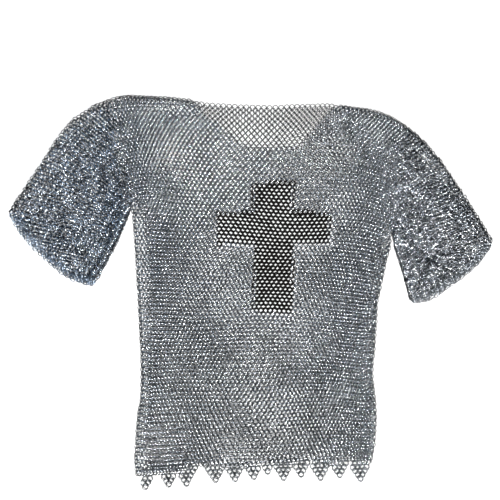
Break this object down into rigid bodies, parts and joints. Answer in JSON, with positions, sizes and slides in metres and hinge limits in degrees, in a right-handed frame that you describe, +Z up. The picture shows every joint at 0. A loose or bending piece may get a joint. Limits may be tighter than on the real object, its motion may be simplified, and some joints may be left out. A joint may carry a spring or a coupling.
{
  "type": "haubergeon",
  "caption": "Short-sleeved mail shirt laid flat, with a low open neck, a dark cross woven into the chest, edged cuffs and a hem of pointed tabs.",
  "frame": {"origin": "on the floor under the middle of the shirt as it lies flat on its back", "axes": "+X towards the wearer's left sleeve, along the shirt's greatest width, +Y from the hem towards the neck, +Z up, out of the chest"},
  "size_m": [1.0976, 0.8888, 0.018],
  "materials": {
    "ring_steel": "blue-grey drawn steel wire, softly worn bright on the crowns of the rings",
    "edge_rings": "the same steel wire, a little darker at the cuffs",
    "blackened_rings": "blackened steel wire, satin"
  },
  "bodies": {
    "torso": {"front_yoke_right": "ring_steel", "front_yoke_left": "ring_steel", "front_chest_right": "ring_steel", "front_chest_left": "ring_steel", "cross_inlay": "blackened_rings", "front_belly": "ring_steel", "back_neck_panel": "ring_steel", "back_yoke_right": "ring_steel", "back_yoke_left": "ring_steel", "back_chest": "ring_steel", "back_belly": "ring_steel", "right_shoulder_fold": "ring_steel", "left_shoulder_fold": "ring_steel", "right_side_fold": "ring_steel", "left_side_fold": "ring_steel"},
    "skirt": {"front_skirt": "ring_steel", "back_skirt": "ring_steel", "right_skirt_fold": "ring_steel", "left_skirt_fold": "ring_steel", "front_hem_point_01": "ring_steel", "front_hem_point_02": "ring_steel", "front_hem_point_03": "ring_steel", "front_hem_point_04": "ring_steel", "front_hem_point_05": "ring_steel", "front_hem_point_06": "ring_steel", "front_hem_point_07": "ring_steel", "front_hem_point_08": "ring_steel", "front_hem_point_09": "ring_steel", "front_hem_point_10": "ring_steel", "front_hem_point_11": "ring_steel", "front_hem_point_12": "ring_steel", "back_hem_point_01": "ring_steel", "back_hem_point_02": "ring_steel", "back_hem_point_03": "ring_steel", "back_hem_point_04": "ring_steel", "back_hem_point_05": "ring_steel", "back_hem_point_06": "ring_steel", "back_hem_point_07": "ring_steel", "back_hem_point_08": "ring_steel", "back_hem_point_09": "ring_steel", "back_hem_point_10": "ring_steel", "back_hem_point_11": "ring_steel", "back_hem_point_12": "ring_steel"},
    "right_sleeve": {"right_sleeve_front": "ring_steel", "right_sleeve_back": "ring_steel", "right_sleeve_top_fold": "ring_steel", "right_sleeve_under_fold": "ring_steel", "right_cuff_front": "edge_rings", "right_cuff_back": "edge_rings"},
    "left_sleeve": {"left_sleeve_front": "ring_steel", "left_sleeve_back": "ring_steel", "left_sleeve_top_fold": "ring_steel", "left_sleeve_under_fold": "ring_steel", "left_cuff_front": "edge_rings", "left_cuff_back": "edge_rings"}
  },
  "joints": [
    {"name": "right_sleeve_fold", "type": "hinge", "parent": "torso", "child": "right_sleeve", "pos_m": [-0.26984, 0.19211, 0.0195], "axis": [-0.1165, 0.9932, 0], "range_deg": [0, 175]},
    {"name": "left_sleeve_fold", "type": "hinge", "parent": "torso", "child": "left_sleeve", "pos_m": [0.31716, 0.13877, 0.0195], "axis": [-0.1221, -0.9925, 0], "range_deg": [0, 175]},
    {"name": "skirt_fold", "type": "hinge", "parent": "torso", "child": "skirt", "pos_m": [0, -0.25328, 0.0195], "axis": [-1, 0, 0], "range_deg": [0, 175]}
  ]
}
